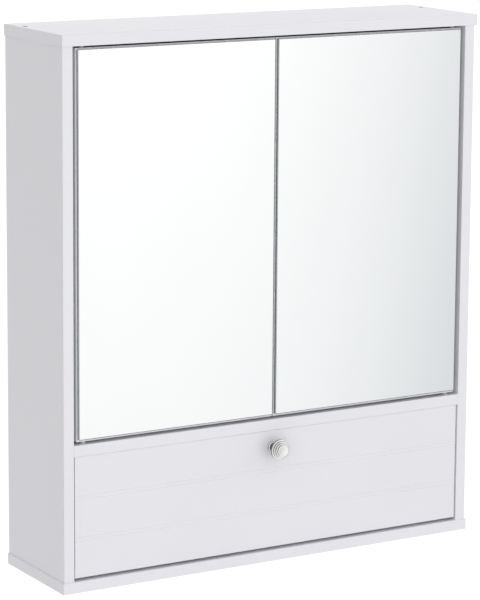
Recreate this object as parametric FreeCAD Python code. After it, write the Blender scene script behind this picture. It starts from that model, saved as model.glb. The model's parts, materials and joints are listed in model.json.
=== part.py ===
import FreeCAD, Part
import os

# Hanging wall cabinet: two inset mirror doors on pivot pins above a drop-down flap with a turned knob.
# Millimetres. X runs to the right along the front, the front faces -Y, Z is up, the wall is the plane Y = 0.
# The origin is on the wall, midway between the two wall screws.

Vector = FreeCAD.Vector
X_AXIS = Vector(1, 0, 0)
Y_AXIS = Vector(0, 1, 0)
Z_AXIS = Vector(0, 0, 1)

# Carcass
WIDTH = 504.0                # over the side panels
HEIGHT = 580.0               # over the top and bottom panels
DEPTH = 130.0                # of the side panels, wall to front edge
BOARD = 12.0                 # every lacquered board
EDGE_RADIUS = 0.6            # broken edge of a lacquered board
TOP_ABOVE_SCREWS = 45.0      # cabinet top above the wall screws
TOP_FRONT_OVERHANG = 3.0
TOP_SIDE_OVERHANG = 1.5
BOTTOM_FRONT_OVERHANG = 1.5
BOTTOM_SIDE_OVERHANG = 1.5
FIXED_SHELF_ABOVE_BASE = 144.6   # underside of the fixed shelf above the cabinet's underside

# Back panel and hanging rail
BACK_THICKNESS = 3.0
BACK_GROOVE_DEPTH = 5.0
BACK_GROOVE_PLAY = 0.1       # on each side of the back panel
RAIL_HEIGHT = 64.0
WALL_SCREW_SPACING = 400.0
WALL_HOLE_RADIUS = 2.75
WALL_HOLE_IN_BACK_RADIUS = 3.5

# Adjustable shelf, its pins and the rows of holes for them
ADJUSTABLE_SHELF_SIDE_PLAY = 0.8
ADJUSTABLE_SHELF_BACK_PLAY = 1.0
ADJUSTABLE_SHELF_FRONT_SETBACK = 22.0
PIN_ROW_SETBACKS = (38.0, 98.0)   # of the two rows of holes, behind the side panel's front edge
PIN_HOLE_RADIUS = 2.5
PIN_HOLE_DEPTH = 8.5
PIN_HOLE_PITCH = 32.0
PIN_HOLES_PER_ROW = 7
PIN_HOLE_IN_USE = 3               # counted from 0 at the lowest hole
LOWEST_PIN_ABOVE_FIXED_SHELF = 96.0
PIN_PLAY = 0.05
PIN_COLLAR_RADIUS = 4.0
PIN_COLLAR_THICKNESS = 0.6
PIN_TONGUE_LENGTH = 8.0
PIN_TONGUE_HALF_WIDTH = 3.5
PIN_TONGUE_THICKNESS = 2.5
CUT_PAST = 1.0               # how far a cutting tool runs past the face that it opens

# Mirror doors
DOOR_HINGE_GAP = 4.5         # door's outer end to the side panel
DOOR_MIDDLE_GAP = 1.3
DOOR_TOP_GAP = 2.2
DOOR_BOTTOM_GAP = 2.5
DOOR_SETBACK = 0.1
GLASS = 3.0
GLASS_SIDE_INSET = 1.1       # the board shows this much beside the glass
GLASS_TOP_INSET = 1.3        # this much above it
GLASS_BOTTOM_INSET = 2.5     # and this much below it
GLASS_ARRIS = 0.3            # ground bevel round the front of the glass
GLASS_BACK_ARRIS = 0.3
PAD_THICKNESS = 0.4          # adhesive tape between glass and board
PAD_WIDTH = 25.0
PAD_LENGTH = 350.0
PADS_PER_DOOR = 3

# Pivot pins, washers and bushes
DOOR_PIN_FROM_SIDE = 13.5    # door axis to the side panel's inner face
DOOR_PIN_SETBACK = 7.2       # door axis behind the side panels' front edges
DOOR_PIN_RADIUS = 1.75
DOOR_PIN_IN_DOOR = 16.0
DOOR_PIN_IN_PANEL = 7.0
PIN_PRESS_PLAY = 0.02        # round a pin in the board that it is pressed into
RUNNING_PLAY = 0.05          # round a pin in its bush
BUSH_WALL = 1.6
BUSH_DEPTH = 8.0
BUSH_FLANGE_RADIUS = 3.9
DOOR_FLANGE_THICKNESS = 0.5
DOOR_WASHER_RADIUS = 2.5
WASHER_PLAY = 0.1            # between a washer and the bush flange
FLAP_PIN_RADIUS = 2.0
FLAP_PIN_IN_FLAP = 20.0
FLAP_PIN_IN_PANEL = 7.0
FLAP_PIN_ABOVE_EDGE = 7.0
FLAP_FLANGE_THICKNESS = 0.5
FLAP_WASHER_RADIUS = 3.6

# Flap
FLAP_SIDE_GAP = 1.5
FLAP_TOP_GAP = 0.3
FLAP_BOTTOM_GAP = 3.0
FLAP_SETBACK = 1.4
BEADS_ABOVE_BASE = (56.5, 100.6)   # middles of the two flat beads above the cabinet's underside
BEAD_WIDTH = 4.0             # between the V grooves on its two sides
BEAD_GROOVE_WIDTH = 0.8
BEAD_GROOVE_DEPTH = 0.4

# Turned knob
KNOB_ABOVE_BASE = 126.0
KNOB_NECK_RADIUS = 5.0
KNOB_NECK_LENGTH = 11.0
KNOB_FOOT_RADIUS = 6.0        # of the flat foot against the flap
KNOB_FOOT_THICKNESS = 0.8
KNOB_FOOT_SLOPE = 1.2         # length over which the foot narrows to the neck
KNOB_NECK_FLARE = 1.0         # end of the neck over which the underside starts
KNOB_UNDERSIDE_LENGTH = 3.0
KNOB_STEPS = ((11.3, 2.4), (9.6, 1.9), (8.1, 1.8), (6.6, 1.6))   # radius and length of each step
KNOB_TURNED_EDGE = 0.35
KNOB_TAPPING_RADIUS = 2.0
KNOB_TAPPING_DEPTH = 12.0
PAN_HEAD = ((0, 0), (3.6, 0), (3.6, 1.2), (2.6, 2.0), (0, 2.0))   # radius and height of its outline
PAN_HEAD_CROSS_REACH = 2.2

# Screws
SCREW_RADIUS = 1.75
SCREW_HEAD_RADIUS = 3.2
SCREW_HEAD_HEIGHT = 2.0
SCREW_PLAY = 0.05
PANEL_SCREW_LENGTH = 38.0
PANEL_SCREW_SINK = 0.2
HEAD_LAND = 0.3              # straight rim of a countersunk head
PANEL_SCREW_INSET = 35.0     # from the front and back edges of the side panel
SMALL_SCREW_RADIUS = 1.4
SMALL_SCREW_HEAD_RADIUS = 2.8
SMALL_SCREW_HEAD_HEIGHT = 1.6
SMALL_SCREW_LENGTH = 10.0
CROSS_WIDTH = 0.8
CROSS_SHARE = 0.62           # of the head radius
CROSS_DEPTH = 1.1

# Dowels and cam fittings
PANEL_DOWEL_RADIUS = 2.5
PANEL_DOWEL_IN_PANEL = 8.0
PANEL_DOWEL_IN_SIDE = 16.0
SHELF_DOWEL_RADIUS = 3.0
DOWEL_IN_SIDE = 8.0
DOWEL_IN_SHELF = 18.0
DOWEL_PLAY = 0.05
DOWEL_END_PLAY = 0.5
RAIL_DOWEL_OFFSET = 18.0     # above and below the rail's middle
CAM_SETBACKS = (32.0, 92.0)  # behind the shelf's front edge
SHELF_DOWEL_SETBACK = 62.0
CAM_RADIUS = 6.0
CAM_HEIGHT = 9.0
CAM_FROM_END = 24.0
CAM_BOLT_THREAD_RADIUS = 2.5
CAM_BOLT_THREAD_LENGTH = 8.0
CAM_BOLT_SHANK_RADIUS = 1.75
CAM_BOLT_HEAD_RADIUS = 3.0
CAM_BOLT_HEAD_LENGTH = 2.5
CAM_POCKET_PLAY = 0.3
CAM_SLOT_WIDTH = 1.6
CAM_SLOT_DEPTH = 1.5

# Double push latch for the doors
LATCH_HALF_WIDTH = 34.0
LATCH_HEIGHT = 17.0
LATCH_SETBACK = 20.0         # behind the side panels' front edges
LATCH_LENGTH = 52.0
LATCH_EAR = 12.0             # screw ear beyond each end of the housing
LATCH_EAR_THICKNESS = 3.0
LATCH_RADIUS = 1.5
LATCH_REAR_WALL = 3.0
PLUNGER_FROM_MIDDLE = 20.0
PLUNGER_BELOW_TOP = 10.0
PLUNGER_RADIUS = 4.0
PLUNGER_LENGTH = 40.0
PLUNGER_WALL = 1.2           # of the plunger's hollow tail
PLUNGER_HOLLOW = 26.0
PLUNGER_TIP_THICKNESS = 2.5
PLUNGER_TIP_RADIUS = 3.6
PLUNGER_TIP_GAP = 0.2        # tip to strike plate
SPRING_WIRE_RADIUS = 0.35
SPRING_RADIUS = 2.0
SPRING_PITCH = 2.4
SPRING_END_PLAY = 0.4
STRIKE_THICKNESS = 1.2
STRIKE_HALF_WIDTH = 9.0
STRIKE_HEIGHT = 26.0
STRIKE_ABOVE_TIP = 1.0
STRIKE_SCREW_DROP = 18.0     # below the plunger's axis

# Magnetic catch for the flap
CATCH_HALF_WIDTH = 23.0
CATCH_HEIGHT = 11.0
CATCH_LENGTH = 15.0
CATCH_GAP = 0.3              # catch to its strike plate
CATCH_SCREW_FROM_MIDDLE = 17.0
CATCH_SCREW_SINK = 1.0
CATCH_RADIUS = 1.0
MAGNET_HALF_WIDTH = 11.0
MAGNET_HALF_HEIGHT = 2.2
MAGNET_DEPTH = 9.0
MAGNET_SETBACK = 0.5         # behind the catch's front
POLE_THICKNESS = 1.2
POLE_PROUD = 0.2
FLAP_STRIKE_HALF_WIDTH = 19.0
FLAP_STRIKE_HALF_HEIGHT = 5.0
FLAP_STRIKE_SCREW_FROM_END = 4.5

# Places that follow from the driving dimensions
TOP = TOP_ABOVE_SCREWS
BASE = TOP - HEIGHT
TOP_UNDERSIDE = TOP - BOARD
BASE_UPPER = BASE + BOARD
FRONT = -DEPTH
SIDE_OUTER = WIDTH / 2
SIDE_INNER = SIDE_OUTER - BOARD
SIDE_MIDDLE = SIDE_OUTER - BOARD / 2
SHELF_LOWER = BASE + FIXED_SHELF_ABOVE_BASE
SHELF_UPPER = SHELF_LOWER + BOARD
BACK_REAR = -BOARD
BACK_FRONT = BACK_REAR - BACK_THICKNESS
RAIL_LOWER = TOP_UNDERSIDE - RAIL_HEIGHT

DOOR_FRONT = FRONT + DOOR_SETBACK
DOOR_BOARD_FRONT = DOOR_FRONT + GLASS + PAD_THICKNESS
DOOR_REAR = DOOR_BOARD_FRONT + BOARD
DOOR_OUTER = SIDE_INNER - DOOR_HINGE_GAP
DOOR_INNER = DOOR_MIDDLE_GAP / 2
DOOR_LOWER = SHELF_UPPER + DOOR_BOTTOM_GAP
DOOR_UPPER = TOP_UNDERSIDE - DOOR_TOP_GAP
DOOR_AXIS_X = SIDE_INNER - DOOR_PIN_FROM_SIDE
DOOR_AXIS_Y = FRONT + DOOR_PIN_SETBACK

FLAP_FRONT = FRONT + FLAP_SETBACK
FLAP_REAR = FLAP_FRONT + BOARD
FLAP_END = SIDE_INNER - FLAP_SIDE_GAP
FLAP_LOWER = BASE_UPPER + FLAP_BOTTOM_GAP
FLAP_UPPER = SHELF_LOWER - FLAP_TOP_GAP
FLAP_AXIS_Y = FLAP_FRONT + BOARD / 2
FLAP_AXIS_Z = FLAP_LOWER + FLAP_PIN_ABOVE_EDGE

PIN_ROWS = [FRONT + setback for setback in PIN_ROW_SETBACKS]
LOWEST_PIN_Z = SHELF_UPPER + LOWEST_PIN_ABOVE_FIXED_SHELF
PIN_HEIGHTS = [LOWEST_PIN_Z + PIN_HOLE_PITCH * i for i in range(PIN_HOLES_PER_ROW)]
PIN_IN_USE_Z = PIN_HEIGHTS[PIN_HOLE_IN_USE]
ADJUSTABLE_SHELF_LOWER = PIN_IN_USE_Z + PIN_TONGUE_THICKNESS / 2

PANEL_FRONT_ROW = FRONT + PANEL_SCREW_INSET
PANEL_REAR_ROW = -PANEL_SCREW_INSET
CAM_ROWS = [FRONT + setback for setback in CAM_SETBACKS]
SHELF_DOWEL_Y = FRONT + SHELF_DOWEL_SETBACK
RAIL_MIDDLE = (RAIL_LOWER + TOP_UNDERSIDE) / 2
RAIL_DOWEL_HEIGHTS = (RAIL_MIDDLE - RAIL_DOWEL_OFFSET, RAIL_MIDDLE + RAIL_DOWEL_OFFSET)

LATCH_FRONT = FRONT + LATCH_SETBACK
PLUNGER_Z = TOP_UNDERSIDE - PLUNGER_BELOW_TOP
STRIKE_REAR = DOOR_REAR + STRIKE_THICKNESS
PLUNGER_FRONT = STRIKE_REAR + PLUNGER_TIP_GAP + PLUNGER_TIP_THICKNESS
PLUNGER_REAR = PLUNGER_FRONT + PLUNGER_LENGTH
STRIKE_SCREW_Z = PLUNGER_Z - STRIKE_SCREW_DROP

FLAP_STRIKE_REAR = FLAP_REAR + STRIKE_THICKNESS
CATCH_FRONT = FLAP_STRIKE_REAR + CATCH_GAP + POLE_PROUD
CATCH_Z = SHELF_LOWER - CATCH_HEIGHT / 2


def box(x0, x1, y0, y1, z0, z1):
    """Solid block between two corners."""
    return Part.makeBox(x1 - x0, y1 - y0, z1 - z0, Vector(x0, y0, z0))


def rod(radius, start, end):
    """Solid cylinder from one point to another."""
    run = Vector(*end) - Vector(*start)
    return Part.makeCylinder(radius, run.Length, Vector(*start), run)


def turned(profile, start, direction):
    """Solid of revolution from (radius, distance along the axis) points, set at start along direction."""
    points = [Vector(r, 0, d) for r, d in profile]
    face = Part.Face(Part.makePolygon(points + points[:1]))
    solid = face.revolve(Vector(0, 0, 0), Z_AXIS, 360)
    solid.Placement = FreeCAD.Placement(Vector(*start), FreeCAD.Rotation(Z_AXIS, Vector(*direction)))
    return solid


def group(solids):
    """One node made of separate equal pieces."""
    return Part.makeCompound(solids)


def cut(shape, tools):
    """Shape with all the tools taken away."""
    return shape.cut(Part.makeCompound(tools)) if tools else shape


def mirrored(shape):
    """The same piece on the other side of the cabinet."""
    return shape.mirror(Vector(0, 0, 0), X_AXIS)


def both_sides(shapes):
    """The given pieces and their mirror images."""
    return shapes + [mirrored(shape) for shape in shapes]


def rounded(shape, radius, wanted):
    """Shape with every edge for which wanted(edge) is true rounded off."""
    return shape.makeFillet(radius, [edge for edge in shape.Edges if wanted(edge)])


def runs_along(edge, axis):
    """True where a straight edge is parallel to the axis."""
    run = edge.Vertexes[-1].Point - edge.Vertexes[0].Point
    return run.Length > 0 and abs(run.dot(axis)) > 0.999 * run.Length


def soft_board(x0, x1, y0, y1, z0, z1):
    """Lacquered board with all its edges broken."""
    board = box(x0, x1, y0, y1, z0, z1)
    return board.makeFillet(EDGE_RADIUS, board.Edges)


def screw(start, direction, length, radius, head_radius, head_height):
    """Countersunk cross-head screw: start is the middle of its head, direction points along its shank."""
    tip = 2 * radius
    profile = [
        (0, 0), (head_radius, 0), (head_radius, HEAD_LAND), (radius, head_height),
        (radius, length - tip), (0, length),
    ]
    body = turned(profile, (0, 0, 0), (0, 0, 1))
    reach = head_radius * CROSS_SHARE
    half = CROSS_WIDTH / 2
    body = cut(body, [
        box(-reach, reach, -half, half, -CUT_PAST, CROSS_DEPTH),
        box(-half, half, -reach, reach, -CUT_PAST, CROSS_DEPTH),
    ])
    body.Placement = FreeCAD.Placement(Vector(*start), FreeCAD.Rotation(Z_AXIS, Vector(*direction)))
    return body


def screw_hole(start, direction, length, radius, head_radius, head_height, sink):
    """Countersunk hole that takes the screw, open above its head by sink."""
    wide = head_radius + SCREW_PLAY
    narrow = radius + SCREW_PLAY
    mouth = -sink - CUT_PAST
    end = length + DOWEL_END_PLAY
    profile = [
        (0, mouth), (wide, mouth), (wide, HEAD_LAND + SCREW_PLAY), (narrow, head_height + SCREW_PLAY),
        (narrow, end), (0, end),
    ]
    return turned(profile, start, direction)


def small_screw(start, direction):
    """Short screw that holds a fitting."""
    return screw(start, direction, SMALL_SCREW_LENGTH, SMALL_SCREW_RADIUS, SMALL_SCREW_HEAD_RADIUS,
                 SMALL_SCREW_HEAD_HEIGHT)


def small_screw_hole(start, direction):
    """Hole for a short screw through a fitting and into the board under it."""
    return screw_hole(start, direction, SMALL_SCREW_LENGTH, SMALL_SCREW_RADIUS, SMALL_SCREW_HEAD_RADIUS,
                      SMALL_SCREW_HEAD_HEIGHT, 0)


# Places of the fasteners, for the right half where they come in mirrored pairs
TOP_SCREWS = [(SIDE_MIDDLE, PANEL_REAR_ROW, TOP - PANEL_SCREW_SINK)]
BOTTOM_SCREWS = [(SIDE_MIDDLE, y, BASE + PANEL_SCREW_SINK) for y in (PANEL_FRONT_ROW, PANEL_REAR_ROW)]
TOP_DOWEL_ROWS = (PANEL_FRONT_ROW, FRONT / 2)
BOTTOM_DOWEL_ROWS = (FRONT / 2,)
DOWN = (0, 0, -1)
UP = (0, 0, 1)
FORWARD = (0, -1, 0)
BACKWARD = (0, 1, 0)


def panel_screw(start, direction):
    """Long screw through the top or bottom panel into the end of a side panel."""
    return screw(start, direction, PANEL_SCREW_LENGTH, SCREW_RADIUS, SCREW_HEAD_RADIUS, SCREW_HEAD_HEIGHT)


def panel_screw_hole(start, direction):
    """Hole for a panel screw, through the panel and on into the side panel."""
    return screw_hole(start, direction, PANEL_SCREW_LENGTH, SCREW_RADIUS, SCREW_HEAD_RADIUS,
                      SCREW_HEAD_HEIGHT, PANEL_SCREW_SINK)


def panel_screw_holes():
    """All the screw holes between the top and bottom panels and the sides."""
    right = [panel_screw_hole(place, DOWN) for place in TOP_SCREWS]
    right += [panel_screw_hole(place, UP) for place in BOTTOM_SCREWS]
    return both_sides(right)


def panel_dowels(play, end_play):
    """Dowels that join the sides to the panels above and below them and to the hanging rail."""
    radius = PANEL_DOWEL_RADIUS + play
    into_panel = PANEL_DOWEL_IN_PANEL + end_play
    into_side = PANEL_DOWEL_IN_SIDE + end_play
    x = SIDE_MIDDLE
    right = []
    for y in TOP_DOWEL_ROWS:
        right.append(rod(radius, (x, y, TOP_UNDERSIDE - into_side), (x, y, TOP_UNDERSIDE + into_panel)))
    for y in BOTTOM_DOWEL_ROWS:
        right.append(rod(radius, (x, y, BASE_UPPER - into_panel), (x, y, BASE_UPPER + into_side)))
    y = -BOARD / 2
    for z in RAIL_DOWEL_HEIGHTS:
        right.append(rod(radius, (SIDE_INNER - into_side, y, z), (SIDE_INNER + into_panel, y, z)))
    return both_sides(right)


def shelf_dowels(play, end_play):
    """Dowels between the fixed shelf and the sides."""
    z = (SHELF_LOWER + SHELF_UPPER) / 2
    inner = SIDE_INNER - DOWEL_IN_SHELF - end_play
    outer = SIDE_INNER + DOWEL_IN_SIDE + end_play
    y = SHELF_DOWEL_Y
    return both_sides([rod(SHELF_DOWEL_RADIUS + play, (inner, y, z), (outer, y, z))])


def cam_bolts(play):
    """Bolts in the sides whose heads the cams of the fixed shelf draw in."""
    z = (SHELF_LOWER + SHELF_UPPER) / 2
    head_start = SIDE_INNER - CAM_FROM_END - CAM_BOLT_HEAD_LENGTH / 2
    head_end = head_start + CAM_BOLT_HEAD_LENGTH
    thread_end = SIDE_INNER + CAM_BOLT_THREAD_LENGTH
    right = []
    for y in CAM_ROWS:
        thread = rod(CAM_BOLT_THREAD_RADIUS + play, (SIDE_INNER, y, z), (thread_end + play, y, z))
        shank = rod(CAM_BOLT_SHANK_RADIUS + play, (head_start, y, z), (SIDE_INNER, y, z))
        head = rod(CAM_BOLT_HEAD_RADIUS + play, (head_start - play, y, z), (head_end + play, y, z))
        right.append(thread.fuse([shank, head]).removeSplitter())
    return both_sides(right)


def cam_locks(play):
    """Round cams let into the fixed shelf from below, hollow where they hold the bolt heads."""
    bolt_heads = cam_bolts(CAM_POCKET_PLAY)
    right = []
    for y in CAM_ROWS:
        x = SIDE_INNER - CAM_FROM_END
        cam = rod(CAM_RADIUS + play, (x, y, SHELF_LOWER), (x, y, SHELF_LOWER + CAM_HEIGHT + play))
        right.append(cam)
    if play:
        return both_sides(right)
    reach = CAM_RADIUS * CROSS_SHARE
    half = CAM_SLOT_WIDTH / 2
    finished = []
    for cam, y in zip(right, CAM_ROWS):
        x = SIDE_INNER - CAM_FROM_END
        top = SHELF_LOWER + CAM_SLOT_DEPTH
        slots = [
            box(x - reach, x + reach, y - half, y + half, SHELF_LOWER - CUT_PAST, top),
            box(x - half, x + half, y - reach, y + reach, SHELF_LOWER - CUT_PAST, top),
        ]
        finished.append(cut(cam, slots + bolt_heads))
    return both_sides(finished)


def pin_holes():
    """The rows of holes for the adjustable shelf's pins, in both sides."""
    mouth, bottom = SIDE_INNER - CUT_PAST, SIDE_INNER + PIN_HOLE_DEPTH
    right = []
    for y in PIN_ROWS:
        for z in PIN_HEIGHTS:
            right.append(rod(PIN_HOLE_RADIUS, (mouth, y, z), (bottom, y, z)))
    return both_sides(right)


def back_groove():
    """The space that the back panel's edges need in the boards round it."""
    end = SIDE_INNER + BACK_GROOVE_DEPTH
    return box(-end, end, BACK_FRONT - BACK_GROOVE_PLAY, BACK_REAR + BACK_GROOVE_PLAY,
               BASE_UPPER - BACK_GROOVE_DEPTH, TOP_UNDERSIDE + BACK_GROOVE_DEPTH)


def bush(pin_radius, depth, flange, start, direction):
    """Flanged plastic bush: start is on the board's face, direction points into the board."""
    bore = pin_radius + RUNNING_PLAY
    outer = pin_radius + BUSH_WALL
    profile = [
        (bore, -flange), (BUSH_FLANGE_RADIUS, -flange), (BUSH_FLANGE_RADIUS, 0), (outer, 0), (outer, depth),
        (bore, depth),
    ]
    return turned(profile, start, direction)


def bush_hole(pin_radius, depth, start, direction):
    """Hole that a bush is pressed into."""
    reach = Vector(*direction) * depth + Vector(*start)
    return rod(pin_radius + BUSH_WALL + PIN_PRESS_PLAY, start, tuple(reach))


DOOR_BUSHES = [
    ((DOOR_AXIS_X, DOOR_AXIS_Y, TOP_UNDERSIDE), UP),
    ((DOOR_AXIS_X, DOOR_AXIS_Y, SHELF_UPPER), DOWN),
]
FLAP_BUSH = ((SIDE_INNER, FLAP_AXIS_Y, FLAP_AXIS_Z), (1, 0, 0))


def bush_holes():
    """Holes for all the bushes in the carcass."""
    right = [bush_hole(DOOR_PIN_RADIUS, BUSH_DEPTH, start, direction) for start, direction in DOOR_BUSHES]
    right.append(bush_hole(FLAP_PIN_RADIUS, BUSH_DEPTH, *FLAP_BUSH))
    return both_sides(right)


LATCH_SCREW_X = LATCH_HALF_WIDTH + LATCH_EAR / 2
LATCH_SCREW_ROWS = (LATCH_FRONT + LATCH_LENGTH / 4, LATCH_FRONT + LATCH_LENGTH * 3 / 4)
LATCH_SCREWS = [(LATCH_SCREW_X, y, TOP_UNDERSIDE - LATCH_EAR_THICKNESS) for y in LATCH_SCREW_ROWS]
CATCH_SCREW_Z = SHELF_LOWER - CATCH_HEIGHT + CATCH_SCREW_SINK
CATCH_SCREWS = [(CATCH_SCREW_FROM_MIDDLE, CATCH_FRONT + CATCH_LENGTH / 2, CATCH_SCREW_Z)]
STRIKE_SCREWS = [(PLUNGER_FROM_MIDDLE, STRIKE_REAR, STRIKE_SCREW_Z)]
FLAP_STRIKE_SCREWS = [(FLAP_STRIKE_HALF_WIDTH - FLAP_STRIKE_SCREW_FROM_END, FLAP_STRIKE_REAR, CATCH_Z)]


def carcass_holes():
    """Every hole in the carcass boards, to be cut from each board that it reaches."""
    holes = panel_screw_holes()
    holes += panel_dowels(DOWEL_PLAY, DOWEL_END_PLAY) + shelf_dowels(DOWEL_PLAY, DOWEL_END_PLAY)
    holes += cam_bolts(DOWEL_PLAY) + cam_locks(DOWEL_PLAY) + pin_holes() + bush_holes()
    holes += both_sides([small_screw_hole(place, UP) for place in LATCH_SCREWS + CATCH_SCREWS])
    return holes


def near(shape, tools):
    """The tools that reach into the shape's own box."""
    return [tool for tool in tools if shape.BoundBox.intersect(tool.BoundBox)]


def carcass():
    """Boards of the carcass, bored for everything that holds them together."""
    holes = carcass_holes()
    top = soft_board(-SIDE_OUTER - TOP_SIDE_OVERHANG, SIDE_OUTER + TOP_SIDE_OVERHANG,
                     FRONT - TOP_FRONT_OVERHANG, 0, TOP_UNDERSIDE, TOP)
    bottom = soft_board(-SIDE_OUTER - BOTTOM_SIDE_OVERHANG, SIDE_OUTER + BOTTOM_SIDE_OVERHANG,
                        FRONT - BOTTOM_FRONT_OVERHANG, 0, BASE, BASE_UPPER)
    side = rounded(box(SIDE_INNER, SIDE_OUTER, FRONT, 0, BASE_UPPER, TOP_UNDERSIDE), EDGE_RADIUS,
                   lambda edge: runs_along(edge, Z_AXIS))
    shelf = rounded(box(-SIDE_INNER, SIDE_INNER, FRONT, BACK_FRONT, SHELF_LOWER, SHELF_UPPER), EDGE_RADIUS,
                    lambda edge: runs_along(edge, X_AXIS) and edge.CenterOfMass.y < SHELF_DOWEL_Y)
    rail = rounded(box(-SIDE_INNER, SIDE_INNER, BACK_REAR, 0, RAIL_LOWER, TOP_UNDERSIDE), EDGE_RADIUS,
                   lambda edge: runs_along(edge, X_AXIS) and edge.CenterOfMass.z < RAIL_MIDDLE)
    boards = {
        "top_panel": top,
        "bottom_panel": bottom,
        "right_side_panel": side,
        "left_side_panel": mirrored(side),
        "fixed_shelf": shelf,
        "hanging_rail": rail,
    }
    made = {name: cut(board, near(board, holes)) for name, board in boards.items()}
    for name in ("top_panel", "bottom_panel", "left_side_panel", "right_side_panel"):
        made[name] = cut(made[name], [back_groove()])
    x = WALL_SCREW_SPACING / 2
    wall_hole = rod(WALL_HOLE_RADIUS, (x, BACK_REAR - CUT_PAST, 0), (x, CUT_PAST, 0))
    made["hanging_rail"] = cut(made["hanging_rail"], both_sides([wall_hole]))
    return made


def back_panel():
    """Thin back that slides in the grooves, with clearance holes for the wall screws."""
    reach = BACK_GROOVE_DEPTH - DOWEL_END_PLAY
    panel = box(-SIDE_INNER - reach, SIDE_INNER + reach, BACK_FRONT, BACK_REAR,
                BASE_UPPER - reach, TOP_UNDERSIDE + reach)
    x = WALL_SCREW_SPACING / 2
    hole = rod(WALL_HOLE_IN_BACK_RADIUS, (x, BACK_FRONT - CUT_PAST, 0), (x, BACK_REAR + CUT_PAST, 0))
    return cut(panel, both_sides([hole]))


def adjustable_shelf():
    """Loose shelf that rests on the four pins."""
    end = SIDE_INNER - ADJUSTABLE_SHELF_SIDE_PLAY
    front = FRONT + ADJUSTABLE_SHELF_FRONT_SETBACK
    rear = BACK_FRONT - ADJUSTABLE_SHELF_BACK_PLAY
    return soft_board(-end, end, front, rear, ADJUSTABLE_SHELF_LOWER, ADJUSTABLE_SHELF_LOWER + BOARD)


def shelf_pins():
    """Metal supports: a pin in the side, a collar on its face and a flat tongue under the shelf."""
    right = []
    z = PIN_IN_USE_Z
    face = SIDE_INNER - PIN_COLLAR_THICKNESS
    end = SIDE_INNER + PIN_HOLE_DEPTH - DOWEL_END_PLAY
    top = ADJUSTABLE_SHELF_LOWER
    for y in PIN_ROWS:
        pin = rod(PIN_HOLE_RADIUS - PIN_PLAY, (face, y, z), (end, y, z))
        collar = rod(PIN_COLLAR_RADIUS, (face, y, z), (SIDE_INNER, y, z))
        tongue = box(SIDE_INNER - PIN_TONGUE_LENGTH, face + PIN_COLLAR_THICKNESS / 2,
                     y - PIN_TONGUE_HALF_WIDTH, y + PIN_TONGUE_HALF_WIDTH, top - PIN_TONGUE_THICKNESS, top)
        under_shelf = box(face, SIDE_INNER, y - PIN_COLLAR_RADIUS, y + PIN_COLLAR_RADIUS,
                          top, z + PIN_COLLAR_RADIUS)
        right.append(cut(pin.fuse([collar, tongue]).removeSplitter(), [under_shelf]))
    return group(both_sides(right))


def door_bushes():
    """Bushes for the doors' pivot pins, in the top panel and in the fixed shelf."""
    right = []
    for start, direction in DOOR_BUSHES:
        right.append(bush(DOOR_PIN_RADIUS, BUSH_DEPTH, DOOR_FLANGE_THICKNESS, start, direction))
    return group(both_sides(right))


def flap_bushes():
    """Bushes for the flap's pivot pins, in the side panels."""
    return group(both_sides([bush(FLAP_PIN_RADIUS, BUSH_DEPTH, FLAP_FLANGE_THICKNESS, *FLAP_BUSH)]))


def plunger_bores(radius, start_y, end_y):
    """The latch's two plunger spaces as rods."""
    x, z = PLUNGER_FROM_MIDDLE, PLUNGER_Z
    return both_sides([rod(radius, (x, start_y, z), (x, end_y, z))])


def latch_housing():
    """Plastic body of the double push latch, screwed up under the top panel."""
    rear = LATCH_FRONT + LATCH_LENGTH
    ear_lower = TOP_UNDERSIDE - LATCH_EAR_THICKNESS
    body = box(-LATCH_HALF_WIDTH, LATCH_HALF_WIDTH, LATCH_FRONT, rear,
               TOP_UNDERSIDE - LATCH_HEIGHT, TOP_UNDERSIDE)
    body = rounded(body, LATCH_RADIUS, lambda edge: edge.CenterOfMass.z < ear_lower)
    ear = box(-LATCH_HALF_WIDTH - LATCH_EAR, LATCH_HALF_WIDTH + LATCH_EAR, LATCH_FRONT, rear,
              ear_lower, TOP_UNDERSIDE)
    ear = rounded(ear, LATCH_RADIUS, lambda edge: runs_along(edge, Z_AXIS))
    holes = plunger_bores(PLUNGER_RADIUS + RUNNING_PLAY, LATCH_FRONT - CUT_PAST, rear - LATCH_REAR_WALL)
    holes += both_sides([small_screw_hole(place, UP) for place in LATCH_SCREWS])
    return cut(body.fuse(ear).removeSplitter(), holes)


def plunger():
    """Right-hand plunger: a plastic rod, hollow behind for its spring."""
    x = PLUNGER_FROM_MIDDLE
    body = rod(PLUNGER_RADIUS, (x, PLUNGER_FRONT, PLUNGER_Z), (x, PLUNGER_REAR, PLUNGER_Z))
    hollow = rod(PLUNGER_RADIUS - PLUNGER_WALL, (x, PLUNGER_REAR - PLUNGER_HOLLOW, PLUNGER_Z),
                 (x, PLUNGER_REAR + CUT_PAST, PLUNGER_Z))
    return cut(body, [hollow])


def plunger_tip():
    """Right-hand magnet disc on the plunger's nose."""
    x, z = PLUNGER_FROM_MIDDLE, PLUNGER_Z
    return rod(PLUNGER_TIP_RADIUS, (x, PLUNGER_FRONT - PLUNGER_TIP_THICKNESS, z), (x, PLUNGER_FRONT, z))


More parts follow.
